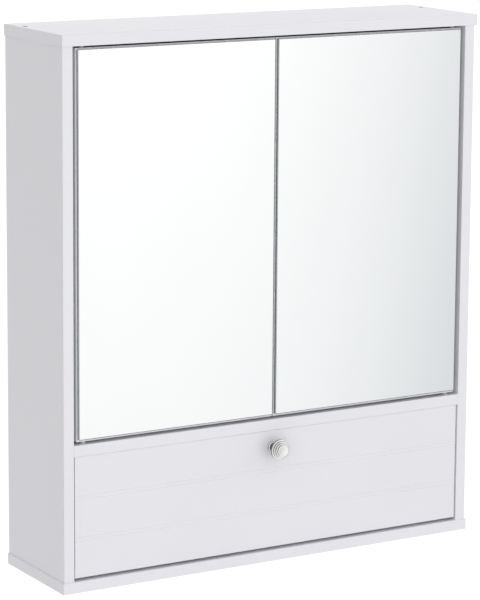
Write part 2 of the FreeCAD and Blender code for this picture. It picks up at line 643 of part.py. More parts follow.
def spring():
    """Right-hand latch spring, pressed together behind the plunger."""
    start = PLUNGER_REAR - PLUNGER_HOLLOW + SPRING_END_PLAY + SPRING_WIRE_RADIUS
    end = LATCH_FRONT + LATCH_LENGTH - LATCH_REAR_WALL - SPRING_END_PLAY - SPRING_WIRE_RADIUS
    path = Part.makeHelix(SPRING_PITCH, end - start, SPRING_RADIUS)
    section = Part.Wire(Part.makeCircle(SPRING_WIRE_RADIUS, Vector(SPRING_RADIUS, 0, 0), Y_AXIS))
    coil = Part.Wire(path).makePipeShell([section], True, True)
    coil.Placement = FreeCAD.Placement(Vector(PLUNGER_FROM_MIDDLE, start, PLUNGER_Z),
                                       FreeCAD.Rotation(Z_AXIS, Y_AXIS))
    return coil


def strike():
    """Right-hand steel plate on the back of the door that the plunger's magnet holds."""
    x = PLUNGER_FROM_MIDDLE
    upper = PLUNGER_Z + PLUNGER_TIP_RADIUS + STRIKE_ABOVE_TIP
    plate = box(x - STRIKE_HALF_WIDTH, x + STRIKE_HALF_WIDTH, DOOR_REAR, STRIKE_REAR,
                upper - STRIKE_HEIGHT, upper)
    plate = rounded(plate, LATCH_RADIUS, lambda edge: runs_along(edge, Y_AXIS))
    return cut(plate, [small_screw_hole(place, FORWARD) for place in STRIKE_SCREWS])


def door():
    """The right-hand mirror door's pieces."""
    board = soft_board(DOOR_INNER, DOOR_OUTER, DOOR_BOARD_FRONT, DOOR_REAR, DOOR_LOWER, DOOR_UPPER)
    x, y = DOOR_AXIS_X, DOOR_AXIS_Y
    upper = ((x, y, DOOR_UPPER - DOOR_PIN_IN_DOOR), (x, y, TOP_UNDERSIDE + DOOR_PIN_IN_PANEL))
    lower = ((x, y, SHELF_UPPER - DOOR_PIN_IN_PANEL), (x, y, DOOR_LOWER + DOOR_PIN_IN_DOOR))
    holes = [rod(DOOR_PIN_RADIUS + PIN_PRESS_PLAY, *upper), rod(DOOR_PIN_RADIUS + PIN_PRESS_PLAY, *lower)]
    holes += [small_screw_hole(place, FORWARD) for place in STRIKE_SCREWS]
    board = cut(board, holes)
    pins = [rod(DOOR_PIN_RADIUS, *upper), rod(DOOR_PIN_RADIUS, *lower)]
    gaps = [
        (DOOR_UPPER, TOP_UNDERSIDE - DOOR_FLANGE_THICKNESS - WASHER_PLAY),
        (SHELF_UPPER + DOOR_FLANGE_THICKNESS + WASHER_PLAY, DOOR_LOWER),
    ]
    washers = []
    for z0, z1 in gaps:
        ring = rod(DOOR_WASHER_RADIUS, (x, y, z0), (x, y, z1))
        washers.append(cut(ring, holes))
    return {
        "door_board": board,
        "mirror": mirror_glass(),
        "mirror_pads": mirror_pads(),
        "pivot_pins": group(pins),
        "washers": group(washers),
        "strike": strike(),
        "strike_screw": group([small_screw(place, FORWARD) for place in STRIKE_SCREWS]),
    }


def mirror_glass():
    """Mirror glass with a ground arris all round, a little smaller than the door board behind it."""
    glass = box(DOOR_INNER + GLASS_SIDE_INSET, DOOR_OUTER - GLASS_SIDE_INSET, DOOR_FRONT, DOOR_FRONT + GLASS,
                DOOR_LOWER + GLASS_BOTTOM_INSET, DOOR_UPPER - GLASS_TOP_INSET)
    front = [edge for edge in glass.Edges if edge.CenterOfMass.y < DOOR_FRONT + GLASS / 4]
    glass = glass.makeChamfer(GLASS_ARRIS, front)
    rear = [edge for edge in glass.Edges if edge.CenterOfMass.y > DOOR_FRONT + GLASS - GLASS_BACK_ARRIS / 2]
    return glass.makeChamfer(GLASS_BACK_ARRIS, rear)


def mirror_pads():
    """Strips of adhesive tape that hold the glass on the board."""
    middle_z = (DOOR_LOWER + DOOR_UPPER) / 2
    pitch = (DOOR_OUTER - DOOR_INNER) / PADS_PER_DOOR
    pads = []
    for i in range(PADS_PER_DOOR):
        x = DOOR_INNER + pitch * (i + 0.5)
        pads.append(box(x - PAD_WIDTH / 2, x + PAD_WIDTH / 2, DOOR_FRONT + GLASS, DOOR_BOARD_FRONT,
                        middle_z - PAD_LENGTH / 2, middle_z + PAD_LENGTH / 2))
    return group(pads)


def bead_groove(z):
    """V-shaped cutter for one fine groove across the front of the flap."""
    mouth = BEAD_GROOVE_WIDTH / 2 * (1 + CUT_PAST / BEAD_GROOVE_DEPTH)
    start = -FLAP_END - CUT_PAST
    corners = [
        Vector(start, FLAP_FRONT - CUT_PAST, z - mouth),
        Vector(start, FLAP_FRONT - CUT_PAST, z + mouth),
        Vector(start, FLAP_FRONT + BEAD_GROOVE_DEPTH, z),
    ]
    outline = Part.makePolygon(corners + corners[:1])
    return Part.Face(outline).extrude(Vector(-2 * start, 0, 0))


def flap_board():
    """Flap with two flat beads across its front, each between a pair of fine grooves."""
    board = box(-FLAP_END, FLAP_END, FLAP_FRONT, FLAP_REAR, FLAP_LOWER, FLAP_UPPER)
    board = rounded(board, EDGE_RADIUS, lambda edge: runs_along(edge, X_AXIS))
    half = BEAD_WIDTH / 2
    board = cut(board, [bead_groove(BASE + height + side)
                        for height in BEADS_ABOVE_BASE for side in (-half, half)])
    z = BASE + KNOB_ABOVE_BASE
    holes = [
        rod(KNOB_TAPPING_RADIUS + SCREW_PLAY, (0, FLAP_FRONT - CUT_PAST, z), (0, FLAP_REAR + CUT_PAST, z)),
    ]
    holes += both_sides([small_screw_hole(place, FORWARD) for place in FLAP_STRIKE_SCREWS])
    holes += both_sides([flap_pin(PIN_PRESS_PLAY)])
    return cut(board, holes)


def flap_pin(play):
    """Right-hand pivot pin of the flap, pressed into its end."""
    y, z = FLAP_AXIS_Y, FLAP_AXIS_Z
    start, end = FLAP_END - FLAP_PIN_IN_FLAP, SIDE_INNER + FLAP_PIN_IN_PANEL
    return rod(FLAP_PIN_RADIUS + play, (start, y, z), (end, y, z))


def flap_washers():
    """Washers between the flap's ends and the bush flanges."""
    y, z = FLAP_AXIS_Y, FLAP_AXIS_Z
    inner, outer = FLAP_END, SIDE_INNER - FLAP_FLANGE_THICKNESS - WASHER_PLAY
    ring = rod(FLAP_WASHER_RADIUS, (inner, y, z), (outer, y, z))
    return group(both_sides([cut(ring, [flap_pin(PIN_PRESS_PLAY)])]))


def knob():
    """Turned knob: a footed neck and a head that narrows forward in steps."""
    height = KNOB_NECK_LENGTH
    profile = [
        (0, 0), (KNOB_FOOT_RADIUS, 0), (KNOB_FOOT_RADIUS, KNOB_FOOT_THICKNESS),
        (KNOB_NECK_RADIUS, KNOB_FOOT_THICKNESS + KNOB_FOOT_SLOPE),
        (KNOB_NECK_RADIUS, height - KNOB_NECK_FLARE),
    ]
    widest = KNOB_STEPS[0][0]
    height += KNOB_UNDERSIDE_LENGTH
    profile.append((widest - KNOB_TURNED_EDGE, height - KNOB_TURNED_EDGE))
    for radius, length in KNOB_STEPS:
        profile.append((radius, height))
        height += length
        profile.append((radius, height - KNOB_TURNED_EDGE))
        profile.append((radius - KNOB_TURNED_EDGE, height))
    profile.append((0, height))
    z = BASE + KNOB_ABOVE_BASE
    body = turned(profile, (0, FLAP_FRONT, z), FORWARD)
    bottom = FLAP_FRONT - KNOB_TAPPING_DEPTH - DOWEL_END_PLAY
    return cut(body, [rod(KNOB_TAPPING_RADIUS + SCREW_PLAY, (0, FLAP_FRONT + CUT_PAST, z), (0, bottom, z))])


def knob_screw():
    """Machine screw through the flap into the knob, with a pan head behind the flap."""
    z = BASE + KNOB_ABOVE_BASE
    shank = rod(KNOB_TAPPING_RADIUS, (0, FLAP_REAR, z), (0, FLAP_FRONT - KNOB_TAPPING_DEPTH, z))
    head = turned(PAN_HEAD, (0, FLAP_REAR, z), BACKWARD)
    half = CROSS_WIDTH / 2
    reach = PAN_HEAD_CROSS_REACH
    rear = FLAP_REAR + PAN_HEAD[-1][1]
    cross = [
        box(-reach, reach, rear - CROSS_DEPTH, rear + CUT_PAST, z - half, z + half),
        box(-half, half, rear - CROSS_DEPTH, rear + CUT_PAST, z - reach, z + reach),
    ]
    return cut(shank.fuse(head).removeSplitter(), cross)


def flap_strike():
    """Steel plate on the back of the flap that the catch holds."""
    plate = box(-FLAP_STRIKE_HALF_WIDTH, FLAP_STRIKE_HALF_WIDTH, FLAP_REAR, FLAP_STRIKE_REAR,
                CATCH_Z - FLAP_STRIKE_HALF_HEIGHT, CATCH_Z + FLAP_STRIKE_HALF_HEIGHT)
    plate = rounded(plate, LATCH_RADIUS, lambda edge: runs_along(edge, Y_AXIS))
    return cut(plate, both_sides([small_screw_hole(place, FORWARD) for place in FLAP_STRIKE_SCREWS]))


def catch_poles():
    """Two steel plates that the magnet is held between."""
    x = MAGNET_HALF_WIDTH
    start, end = CATCH_FRONT - POLE_PROUD, CATCH_FRONT + MAGNET_DEPTH
    poles = []
    for side in (-1, 1):
        near_face = CATCH_Z + side * MAGNET_HALF_HEIGHT
        far_face = near_face + side * POLE_THICKNESS
        poles.append(box(-x, x, start, end, min(near_face, far_face), max(near_face, far_face)))
    return poles


def catch_magnet():
    """Magnet between the pole plates."""
    x = MAGNET_HALF_WIDTH
    return box(-x, x, CATCH_FRONT + MAGNET_SETBACK, CATCH_FRONT + MAGNET_DEPTH,
               CATCH_Z - MAGNET_HALF_HEIGHT, CATCH_Z + MAGNET_HALF_HEIGHT)


def flap_catch():
    """Plastic body of the flap's catch, screwed up under the fixed shelf."""
    body = box(-CATCH_HALF_WIDTH, CATCH_HALF_WIDTH, CATCH_FRONT, CATCH_FRONT + CATCH_LENGTH,
               SHELF_LOWER - CATCH_HEIGHT, SHELF_LOWER)
    body = rounded(body, CATCH_RADIUS, lambda edge: runs_along(edge, Z_AXIS))
    half_height = MAGNET_HALF_HEIGHT + POLE_THICKNESS
    pocket = box(-MAGNET_HALF_WIDTH, MAGNET_HALF_WIDTH, CATCH_FRONT - CUT_PAST, CATCH_FRONT + MAGNET_DEPTH,
                 CATCH_Z - half_height, CATCH_Z + half_height)
    holes = [pocket] + both_sides([small_screw_hole(place, UP) for place in CATCH_SCREWS])
    return cut(body, holes)


def nodes():
    """Every piece of the cabinet by name."""
    made = carcass()
    made["back_panel"] = back_panel()
    made["adjustable_shelf"] = adjustable_shelf()
    made["shelf_pins"] = shelf_pins()
    made["top_screws"] = group(both_sides([panel_screw(place, DOWN) for place in TOP_SCREWS]))
    made["bottom_screws"] = group(both_sides([panel_screw(place, UP) for place in BOTTOM_SCREWS]))
    made["panel_dowels"] = group(panel_dowels(0, 0))
    made["shelf_dowels"] = group(shelf_dowels(0, 0))
    made["cam_bolts"] = group(cam_bolts(0))
    made["cam_locks"] = group(cam_locks(0))
    made["door_bushes"] = door_bushes()
    made["flap_bushes"] = flap_bushes()
    made["latch_housing"] = latch_housing()
    made["latch_screws"] = group(both_sides([small_screw(place, UP) for place in LATCH_SCREWS]))
    made["latch_springs"] = group(both_sides([spring()]))
    made["flap_catch"] = flap_catch()
    made["catch_magnet"] = catch_magnet()
    made["catch_poles"] = group(catch_poles())
    made["catch_screws"] = group(both_sides([small_screw(place, UP) for place in CATCH_SCREWS]))
    right = door()
    right["plunger"] = plunger()
    right["plunger_tip"] = plunger_tip()
    for name, shape in right.items():
        made["right_" + name] = shape
        made["left_" + name] = mirrored(shape)
    made["flap_board"] = flap_board()
    made["flap_pins"] = group(both_sides([flap_pin(0)]))
    made["flap_washers"] = flap_washers()
    made["knob"] = knob()
    made["knob_screw"] = knob_screw()
    made["flap_strike"] = flap_strike()
    flap_strike_screws = [small_screw(place, FORWARD) for place in FLAP_STRIKE_SCREWS]
    made["flap_strike_screws"] = group(both_sides(flap_strike_screws))
    return made


os.makedirs("parts", exist_ok=True)
for name, shape in nodes().items():
    bad = [solid for solid in shape.Solids if not solid.isValid() or solid.Volume <= 0]
    if bad or not shape.Solids:
        raise ValueError(name + " has a faulty solid")
    shape.exportStep("parts/" + name + ".step")
    print(name, len(shape.Solids), round(shape.Volume, 1))
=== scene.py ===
import json
import math

import bmesh
import bpy
from mathutils import Matrix, Vector


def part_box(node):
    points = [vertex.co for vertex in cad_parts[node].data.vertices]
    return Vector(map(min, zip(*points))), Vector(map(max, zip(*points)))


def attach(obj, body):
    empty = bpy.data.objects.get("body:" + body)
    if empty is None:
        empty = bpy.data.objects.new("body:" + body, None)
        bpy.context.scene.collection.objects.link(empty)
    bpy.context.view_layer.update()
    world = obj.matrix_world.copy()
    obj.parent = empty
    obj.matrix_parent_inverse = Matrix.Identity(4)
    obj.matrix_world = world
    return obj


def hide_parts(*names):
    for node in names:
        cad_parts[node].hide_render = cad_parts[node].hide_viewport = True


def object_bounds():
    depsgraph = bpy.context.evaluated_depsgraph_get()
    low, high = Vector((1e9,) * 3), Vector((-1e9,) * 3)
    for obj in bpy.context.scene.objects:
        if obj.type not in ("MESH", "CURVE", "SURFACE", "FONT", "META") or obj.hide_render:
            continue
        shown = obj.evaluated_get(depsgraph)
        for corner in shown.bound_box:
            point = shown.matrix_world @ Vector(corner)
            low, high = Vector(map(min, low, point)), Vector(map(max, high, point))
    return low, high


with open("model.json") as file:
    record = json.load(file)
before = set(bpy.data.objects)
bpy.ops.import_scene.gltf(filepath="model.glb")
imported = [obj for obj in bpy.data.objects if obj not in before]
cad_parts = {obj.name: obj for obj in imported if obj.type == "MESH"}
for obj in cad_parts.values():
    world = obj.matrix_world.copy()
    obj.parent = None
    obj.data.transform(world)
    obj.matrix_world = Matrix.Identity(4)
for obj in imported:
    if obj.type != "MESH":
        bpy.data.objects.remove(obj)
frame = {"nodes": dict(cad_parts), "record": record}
cad_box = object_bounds()

# The looks of a hanging wall cabinet: white lacquered boards, two mirror doors and a turned nickel knob.
# Metres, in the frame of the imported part: X to the right, the front faces -Y, the wall is Y = 0, Z is up.

MM = 0.001
NODES = frame["nodes"]

# Camera: where it stands, where it looks in radians, and its lens in millimetres
CAMERA_PLACE = (-1.4910, -2.5605, 0.3194)
CAMERA_YAW = 0.53702         # to the right of straight at the wall
CAMERA_PITCH = 0.17043       # downward
CAMERA_ROLL = 0.00697
CAMERA_LENS = 164.3
CAMERA_SENSOR = 36.0
CAMERA_SHIFT_Y = -0.12       # share of the picture

# Floor: its rings from the middle out, each with its radius and how far it is turned down
FLOOR_BELOW_CABINET = 0.55
FLOOR_RINGS = ((0.3, 0.0), (0.9, 0.0), (1.3, 0.0), (1.42, 0.01), (1.5, 0.05))
FLOOR_SEGMENTS = 96


class Tree:
    """A node tree with a few short ways to add to it."""

    def __init__(self, tree):
        self.tree = tree
        self.tree.nodes.clear()

    def add(self, kind, inputs=None, **settings):
        node = self.tree.nodes.new(kind)
        for name, value in settings.items():
            setattr(node, name, value)
        for name, value in (inputs or {}).items():
            if isinstance(value, bpy.types.NodeSocket):
                self.tree.links.new(value, node.inputs[name])
            else:
                node.inputs[name].default_value = value
        return node

    def noise(self, vector, scale, detail=3.0, roughness=0.5):
        node = self.add("ShaderNodeTexNoise", {"Vector": vector, "Scale": scale, "Detail": detail,
                                               "Roughness": roughness})
        return node.outputs["Fac"]

    def scaled(self, vector, scale):
        return self.add("ShaderNodeVectorMath", {0: vector, 1: scale}, operation="MULTIPLY").outputs[0]

    def spread(self, value, low, high, from_low=0.0, from_high=1.0, smooth=False):
        """Runs from low to high as value runs from from_low to from_high, and stays there beyond."""
        kind = "SMOOTHSTEP" if smooth else "LINEAR"
        node = self.add("ShaderNodeMapRange", {"Value": value, "From Min": from_low, "From Max": from_high,
                                               "To Min": low, "To Max": high}, interpolation_type=kind)
        return node.outputs["Result"]

    def mix(self, share, first, second):
        """Colour first at share 0, second at share 1."""
        node = self.add("ShaderNodeMix", data_type="RGBA")
        for index, value in ((0, share), (6, first), (7, second)):
            if isinstance(value, bpy.types.NodeSocket):
                self.tree.links.new(value, node.inputs[index])
            else:
                node.inputs[index].default_value = value
        return node.outputs[2]

    def maths(self, operation, first, second=0.0):
        return self.add("ShaderNodeMath", {0: first, 1: second}, operation=operation).outputs[0]

    def bump(self, height, strength, distance, normal=None):
        inputs = {"Height": height, "Strength": strength, "Distance": distance}
        if normal is not None:
            inputs["Normal"] = normal
        return self.add("ShaderNodeBump", inputs).outputs[0]

    def object_place(self):
        return self.add("ShaderNodeTexCoord").outputs["Object"]

    def object_normal(self):
        return self.add("ShaderNodeTexCoord").outputs["Normal"]

    def surface(self, **inputs):
        """Principled surface of the material. An input's name has _ where its socket has a space."""
        named = {name.replace("_", " "): value for name, value in inputs.items()}
        shader = self.add("ShaderNodeBsdfPrincipled", named)
        output = self.add("ShaderNodeOutputMaterial")
        self.tree.links.new(shader.outputs[0], output.inputs[0])
        return shader


def new_material(name):
    """An empty node material and its tree."""
    material = bpy.data.materials.new(name)
    material.use_nodes = True
    return material, Tree(material.node_tree)


def grey(value):
    return (value, value, value, 1.0)


def lacquer(name, painted_shade_top=False):
    """White satin lacquer on board, with faint orange peel. With the top switch on, upward faces get a dark
    brown bare-board look, which is painted shade for the dark slit above the doors.
    """
    material, t = new_material(name)
    place = t.object_place()
    clouds = t.noise(place, 9.0, 4.0)
    speck = t.noise(place, 900.0, 2.0)
    tone = t.maths("ADD", t.maths("MULTIPLY", clouds, 0.7), t.maths("MULTIPLY", speck, 0.3))
    colour = t.mix(t.spread(tone, 0.0, 1.0, 0.35, 0.65), (0.884, 0.876, 0.909, 1), (0.904, 0.896, 0.929, 1))
    peel = t.noise(place, 420.0, 2.0, 0.4)
    fine = t.noise(place, 2600.0, 2.0)
    normal = t.bump(fine, 0.10, 0.00002, t.bump(peel, 0.16, 0.00005))
    roughness = t.spread(clouds, 0.34, 0.42, 0.3, 0.7)
    coat = 0.25
    if painted_shade_top:
        # Painted shade: upward faces are painted dark brown like bare board, standing in for the shade in the
        # slit above the doors
        upright = t.add("ShaderNodeSeparateXYZ", {0: t.object_normal()}).outputs["Z"]
        top_shade = t.spread(upright, 0.0, 1.0, 0.6, 0.8)
        fibre = t.noise(place, 1500.0, 5.0, 0.7)
        colour = t.mix(top_shade, colour, t.mix(fibre, (0.16, 0.135, 0.11, 1), (0.25, 0.21, 0.17, 1)))
        roughness = t.maths("MAXIMUM", roughness, t.maths("MULTIPLY", top_shade, 0.85))
        normal = t.bump(t.maths("MULTIPLY", fibre, top_shade), 0.5, 0.0001, normal)
        coat = t.spread(top_shade, 0.25, 0.0)
    t.surface(Base_Color=colour, Roughness=roughness, Normal=normal, Coat_Weight=coat, Coat_Roughness=0.22,
              IOR=1.48)
    return material


def back_board():
    """Thin hardboard: white foil on the side seen inside the cabinet, raw brown fibre on the wall side."""
    material, t = new_material("white_board")
    place = t.object_place()
    facing = t.add("ShaderNodeSeparateXYZ", {0: t.object_normal()}).outputs["Y"]
    rear = t.spread(facing, 0.0, 1.0, 0.4, 0.6)
    fibre = t.noise(t.scaled(place, (1.0, 1.0, 0.45)), 520.0, 6.0, 0.7)
    patches = t.noise(place, 24.0, 4.0)
    brown = t.mix(t.spread(fibre, 0.0, 1.0, 0.3, 0.7), (0.22, 0.13, 0.07, 1), (0.42, 0.28, 0.17, 1))
    brown = t.mix(t.spread(patches, 0.0, 0.35, 0.3, 0.7), brown, (0.30, 0.19, 0.11, 1))
    white = t.mix(t.spread(patches, 0.0, 1.0, 0.3, 0.7), (0.80, 0.80, 0.83, 1), (0.84, 0.84, 0.87, 1))
    weave = t.add("ShaderNodeTexWave", {"Vector": place, "Scale": 260.0, "Distortion": 1.5, "Detail": 1.0},
                  bands_direction="DIAGONAL").outputs["Fac"]
    height = t.mix(rear, t.noise(place, 700.0, 2.0), t.maths("ADD", fibre, t.maths("MULTIPLY", weave, 0.25)))
    t.surface(Base_Color=t.mix(rear, white, brown), Roughness=t.spread(rear, 0.45, 0.85),
              Normal=t.bump(height, 0.35, 0.00012))
    return material


def silvering():
    """Silver behind clear glass, with a trace of wiping haze in its gloss."""
    material, t = new_material("mirror_glass")
    place = t.object_place()
    haze = t.noise(t.scaled(place, (1.0, 1.0, 0.35)), 14.0, 5.0, 0.6)
    colour = t.mix(t.spread(haze, 0.0, 1.0, 0.3, 0.7), (0.935, 0.943, 0.941, 1), (0.945, 0.953, 0.951, 1))
    t.surface(Base_Color=colour, Metallic=1.0, Roughness=t.spread(haze, 0.004, 0.022, 0.4, 0.75),
              Coat_Weight=0.5, Coat_Roughness=0.0, Coat_IOR=1.5)
    return material


def painted_edge_shade():
    """Painted shade: a thin dark line round the silvered face, just inside the bevel, standing for the shadow
    line there.
    """
    material, t = new_material("painted_edge_shade")
    mottle = t.noise(t.object_place(), 1800.0, 3.0)
    t.surface(Base_Color=t.mix(mottle, (0.04, 0.045, 0.045, 1), (0.08, 0.085, 0.085, 1)), Metallic=0.3,
              Roughness=0.25)
    return material


def ground_glass():
    """Finely ground bevel of the mirror glass."""
    material, t = new_material("ground_glass")
    place = t.object_place()
    grain = t.noise(place, 3200.0, 4.0, 0.7)
    streaks = t.noise(place, 260.0, 2.0)
    t.surface(Base_Color=t.mix(grain, (0.74, 0.78, 0.78, 1), (0.86, 0.89, 0.89, 1)),
              Roughness=t.spread(streaks, 0.22, 0.40, 0.3, 0.7), Normal=t.bump(grain, 0.3, 0.00003), IOR=1.5)
    return material


def glass_edge():
    """Polished edge of the glass, green-grey in its depth."""
    material, t = new_material("glass_edge")
    place = t.object_place()
    depth = t.noise(t.scaled(place, (1.0, 6.0, 1.0)), 120.0, 3.0)
    t.surface(Base_Color=t.mix(depth, (0.20, 0.26, 0.24, 1), (0.30, 0.36, 0.34, 1)), Roughness=0.12,
              Normal=t.bump(t.noise(place, 900.0, 2.0), 0.15, 0.00004), IOR=1.52)
    return material


def backing_paint():
    """Grey protective paint on the back of the mirror."""
    material, t = new_material("mirror_backing_paint")
    place = t.object_place()
    t.surface(Base_Color=t.mix(t.noise(place, 60.0, 5.0), (0.20, 0.21, 0.22, 1), (0.25, 0.26, 0.27, 1)),
              Roughness=0.5, Normal=t.bump(t.noise(place, 700.0, 3.0), 0.2, 0.0001))
    return material


def metal(name, dark, light, roughness, brush=(1.0, 1.0, 1.0), bump_distance=0.00002):
    """Plated metal: brush scales its fine marks along X, Y and Z."""
    material, t = new_material(name)
    place = t.object_place()
    marks = t.noise(t.scaled(place, brush), 700.0, 4.0, 0.6)
    bloom = t.noise(place, 120.0, 4.0)
    colour = t.mix(t.spread(bloom, 0.0, 1.0, 0.3, 0.7), dark, light)
    t.surface(Base_Color=colour, Metallic=1.0,
              Roughness=t.spread(marks, roughness * 0.8, roughness * 1.25, 0.3, 0.7),
              Normal=t.bump(marks, 0.2, bump_distance))
    return material


def black_phosphate():
    """Dull grey-black skin of a phosphated screw, with a little oil in it."""
    material, t = new_material("black_phosphate")
    place = t.object_place()
    crystals = t.noise(place, 2400.0, 4.0, 0.7)
    oil = t.noise(place, 140.0, 3.0)
    t.surface(Base_Color=t.mix(crystals, (0.006, 0.006, 0.007, 1), (0.016, 0.016, 0.018, 1)),
              Roughness=t.spread(oil, 0.7, 0.9, 0.3, 0.7), Normal=t.bump(crystals, 0.3, 0.00003),
              Specular_IOR_Level=0.15)
    return material


# The knob's neck, between its head and foot, is painted dark as painted shade and a painted dark reflection,
# and this fades into both
KNOB_BRIGHT_HEAD = 9.0 * MM
KNOB_BRIGHT_FOOT = 2.0 * MM
KNOB_SHADE_FADE = 1.0 * MM
KNOB_WALL_SHADE = (0.26, 0.26, 0.25, 1)
KNOB_NECK_SHADE = (0.12, 0.12, 0.11, 1)


def turned_nickel():
    """Satin nickel with turning rings round the knob's axis, and painted shade and painted dark reflection:
    dark walls on its steps and a dark neck.
    """
    material, t = new_material("satin_nickel")
    low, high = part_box("knob")
    centre = (low + high) / 2
    place = t.add("ShaderNodeVectorMath", {0: t.object_place(), 1: (centre.x, 0.0, centre.z)},
                  operation="SUBTRACT").outputs[0]
    parts = t.add("ShaderNodeSeparateXYZ", {0: place})
    across = t.maths("SQRT", t.maths("ADD", t.maths("POWER", parts.outputs["X"], 2.0),
                                     t.maths("POWER", parts.outputs["Z"], 2.0)))
    ring_place = t.add("ShaderNodeCombineXYZ", {0: across, 1: parts.outputs["Y"], 2: 0.0}).outputs[0]
    rings = t.noise(ring_place, 2600.0, 3.0, 0.7)
    bloom = t.noise(place, 160.0, 4.0)
    colour = t.mix(t.spread(bloom, 0.0, 1.0, 0.3, 0.7), (0.86, 0.850, 0.820, 1), (0.92, 0.910, 0.880, 1))
    head_end = low.y + KNOB_BRIGHT_HEAD
    foot_start = high.y - KNOB_BRIGHT_FOOT
    # Painted shade and painted dark reflection on the neck, between the head and the foot
    behind_head = t.spread(parts.outputs["Y"], 0.0, 1.0, head_end, head_end + KNOB_SHADE_FADE, smooth=True)
    before_foot = t.spread(parts.outputs["Y"], 1.0, 0.0, foot_start - KNOB_SHADE_FADE, foot_start, smooth=True)
    neck = t.maths("MULTIPLY", behind_head, before_foot)
    # Painted shade and painted dark reflection on the step walls, the faces that look sideways from the
    # knob's axis
    along = t.add("ShaderNodeSeparateXYZ", {0: t.object_normal()}).outputs["Y"]
    wall = t.spread(t.maths("ABSOLUTE", along), 1.0, 0.0, 0.25, 0.8, smooth=True)
    colour = t.mix(wall, colour, KNOB_WALL_SHADE)
    colour = t.mix(neck, colour, KNOB_NECK_SHADE)
    t.surface(Base_Color=colour, Metallic=1.0, Roughness=t.spread(rings, 0.16, 0.26, 0.3, 0.7),
              Normal=t.bump(rings, 0.2, 0.00002))
    return material


def plastic(name, low, high, roughness, grain=900.0):
    """Moulded plastic with a fine spark-eroded grain."""
    material, t = new_material(name)
    place = t.object_place()
    skin = t.noise(place, grain, 3.0, 0.6)
    tone = t.noise(place, 35.0, 3.0)
    t.surface(Base_Color=t.mix(tone, low, high), Roughness=t.spread(skin, roughness * 0.85, roughness * 1.15),
              Normal=t.bump(skin, 0.25, 0.00004), IOR=1.49)
    return material


def beech():
    """Raw beech dowel: straight grain with short dark flecks."""
    material, t = new_material("beech")
    place = t.object_place()
    grain = t.noise(t.scaled(place, (0.12, 1.0, 0.12)), 900.0, 5.0, 0.6)
    flecks = t.spread(t.noise(t.scaled(place, (0.3, 1.0, 0.3)), 1600.0, 2.0), 0.0, 1.0, 0.62, 0.72)
    wood = t.mix(grain, (0.56, 0.36, 0.20, 1), (0.72, 0.52, 0.33, 1))
    t.surface(Base_Color=t.mix(flecks, wood, (0.38, 0.22, 0.12, 1)), Roughness=0.6,
              Normal=t.bump(grain, 0.3, 0.0001))
    return material


def studio_floor():
    """Plain pale floor."""
    material, t = new_material("studio_floor")
    place = t.object_place()
    tone = t.noise(place, 3.0, 3.0)
    t.surface(Base_Color=t.mix(tone, grey(0.935), grey(0.955)), Roughness=0.7,
              Normal=t.bump(t.noise(place, 240.0, 3.0), 0.1, 0.0002))
    return material


def assign(materials):
    """Gives every carried-over CAD node the material of its record slot."""
    slots = {row["node"]: row["material_slot"] for row in frame["record"]["subparts"]}
    for name, piece in NODES.items():
        piece.data.materials.clear()
        piece.data.materials.append(materials[slots[name]])


def even_turns(count):
    """Angles of count points spaced evenly round a circle."""
    return [2 * math.pi * i / count for i in range(count)]


def band(bm, ring, following, material=0):
    """The row of faces between two closed rings that have the same number of points."""
    for i in range(len(ring)):
        j = (i + 1) % len(ring)
        bm.faces.new((ring[i], following[i], following[j], ring[j])).material_index = material


def mesh_piece(bm, name, smooth):
    """A new object made from a finished bmesh."""
    mesh = bpy.data.meshes.new(name)
    bm.to_mesh(mesh)
    bm.free()
    for polygon in mesh.polygons:
        polygon.use_smooth = smooth
    piece = bpy.data.objects.new(name, mesh)
    bpy.context.scene.collection.objects.link(piece)
    return piece


def rounded_rectangle(x0, x1, z0, z1, radius, steps):
    """Corner points of an upright rectangle with rounded corners, anticlockwise seen from the front."""
    corners = [(x1 - radius, z1 - radius), (x0 + radius, z1 - radius), (x0 + radius, z0 + radius),
               (x1 - radius, z0 + radius)]
    points = []
    for quarter, (x, z) in enumerate(corners):
        for step in range(steps + 1):
            angle = (quarter + step / steps) * math.pi / 2
            points.append((x + radius * math.cos(angle), z + radius * math.sin(angle)))
    return points


# Mirror glass: its rounded corners, its ground bevels, the dark margin of painted shade in front and its
# material slots
MIRROR_CORNER = 1.0 * MM
MIRROR_CORNER_STEPS = 6
MIRROR_ARRIS = 0.3 * MM
MIRROR_MARGIN = 0.45 * MM
MIRROR_BACK_ARRIS = 0.3 * MM
SILVER, MARGIN, ARRIS, EDGE, BACKING = range(5)


def mirror(node, name):
    """Mirror glass: silvered front, dark margin line of painted shade, ground bevel, polished edge and
    painted back.
    """
    low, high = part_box(node)
    front, rear = low.y, high.y
    # How far each loop lies inside the outline, where it is in depth, and the material of the band after it
    loops = [
        (MIRROR_ARRIS + MIRROR_MARGIN, front, MARGIN),
        (MIRROR_ARRIS, front, ARRIS),
        (0.0, front + MIRROR_ARRIS, EDGE),
        (0.0, rear - MIRROR_BACK_ARRIS, ARRIS),
        (MIRROR_BACK_ARRIS, rear, BACKING),
    ]
    bm = bmesh.new()
    rings = []
    for inset, y, _ in loops:
        radius = MIRROR_CORNER - inset
        outline = rounded_rectangle(low.x + inset, high.x - inset, low.z + inset, high.z - inset, radius,
                                    MIRROR_CORNER_STEPS)
        rings.append([bm.verts.new((x, y, z)) for x, z in outline])
    for (_, _, material), ring, following in zip(loops, rings, rings[1:]):
        band(bm, ring, following, material)
    bm.faces.new(rings[0]).material_index = SILVER
    bm.faces.new(list(reversed(rings[-1]))).material_index = BACKING
    bmesh.ops.recalc_face_normals(bm, faces=bm.faces)
    return mesh_piece(bm, name, smooth=False)


